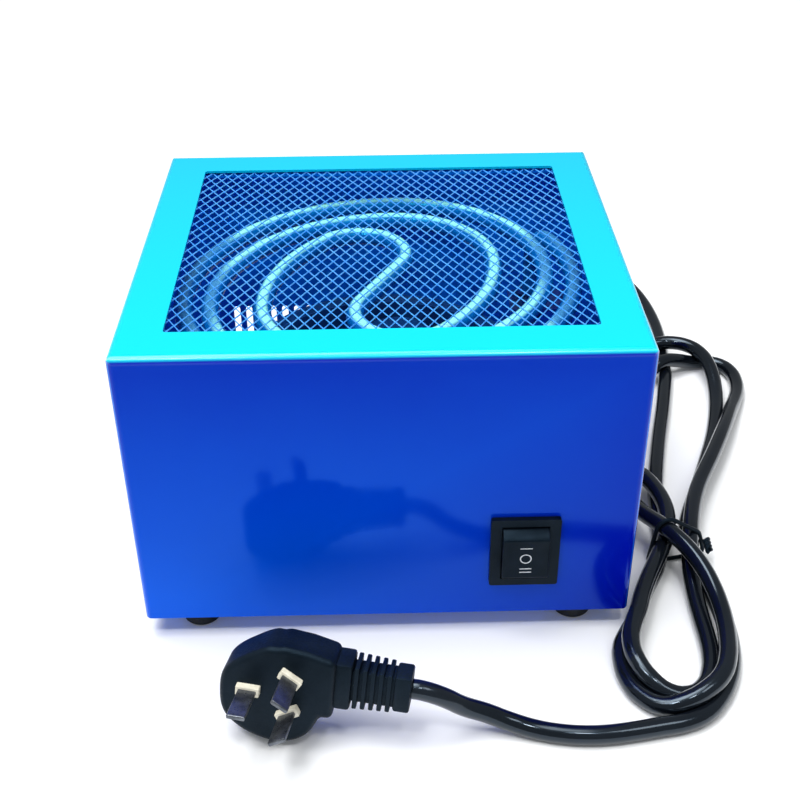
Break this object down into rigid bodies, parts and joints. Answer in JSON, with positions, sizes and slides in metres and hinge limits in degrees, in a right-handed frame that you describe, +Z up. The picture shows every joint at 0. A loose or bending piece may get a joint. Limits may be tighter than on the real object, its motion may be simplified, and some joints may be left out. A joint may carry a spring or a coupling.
{
  "type": "countertop hot air dryer",
  "caption": "box-shaped hot air dryer with mesh top over a spiral heating tube and an axial fan, folded sheet case, rocker switch, rear vents, rubber feet and mains lead with plug",
  "frame": {"origin": "under the middle of the box and its rocker, on the plane that the feet stand on; the mains lead isn't counted", "axes": "+Z up out of the mesh top, -Y out of the switch panel, +Y out of the vented back, +X to the right seen from the front"},
  "size_m": [0.2698, 0.3531, 0.127],
  "materials": {
    "blue_enamel": "glossy blue enamel on folded sheet steel, its top edge frame reading cyan",
    "mesh_enamel": "light blue coat on expanded steel mesh",
    "foot_rubber": "black moulded rubber",
    "zinc": "zinc-plated steel fasteners",
    "heater_sheath": "bright steel sheath",
    "brass": "plain turned brass",
    "plain_sheet": "plain galvanised sheet",
    "white_ceramic": "unglazed steatite",
    "steel_pins": "nickel-plated contacts",
    "black_plastic": "black glass-filled nylon",
    "motor_coat": "dark coated stator",
    "switch_plastic": "satin black nylon with pale marks",
    "cord_sheath": "glossy black PVC",
    "plug_plastic": "matte black moulded PVC",
    "plug_collar": "cream moulded insert"
  },
  "bodies": {
    "box": {"cover": "blue_enamel", "base_tray": "blue_enamel", "feet": "foot_rubber", "foot_screws": "zinc", "foot_nuts": "zinc", "cover_screws": "zinc", "mesh_screen": "mesh_enamel", "mesh_clamp_frame": "blue_enamel", "clamp_nuts": "zinc", "heating_tube": "heater_sheath", "tube_bushes": "brass", "bush_nuts": "brass", "heater_bracket_left": "plain_sheet", "heater_bracket_right": "plain_sheet", "bracket_screws": "zinc", "bracket_nuts": "zinc", "terminal_ceramics": "white_ceramic", "terminal_pins": "steel_pins", "thermal_cutout": "black_plastic", "fan_duct": "black_plastic", "fan_motor": "motor_coat", "fan_posts": "zinc", "fan_screws": "zinc", "post_screws": "zinc", "switch_housing": "switch_plastic", "switch_blades": "steel_pins", "terminal_block": "white_ceramic", "block_screws": "zinc", "earth_stud": "brass", "cord_gland": "cord_sheath", "gland_nut": "black_plastic", "cord_lead": "cord_sheath", "cord_hank": "cord_sheath", "cord_tie": "cord_sheath", "cord_tail": "cord_sheath", "plug_body": "plug_plastic", "plug_collars": "plug_collar", "plug_pins": "steel_pins"},
    "fan": {"fan_rotor": "black_plastic"},
    "rocker": {"switch_rocker": "switch_plastic"}
  },
  "joints": [
    {"name": "fan_spin", "type": "hinge", "parent": "box", "child": "fan", "pos_m": [0, 0.002, 0.05], "axis": [0, 0, 1], "continuous": true},
    {"name": "rocker_tilt", "type": "hinge", "parent": "box", "child": "rocker", "pos_m": [0.0508, -0.081, 0.0406], "axis": [1, 0, 0], "range_deg": [-12, 12]}
  ]
}
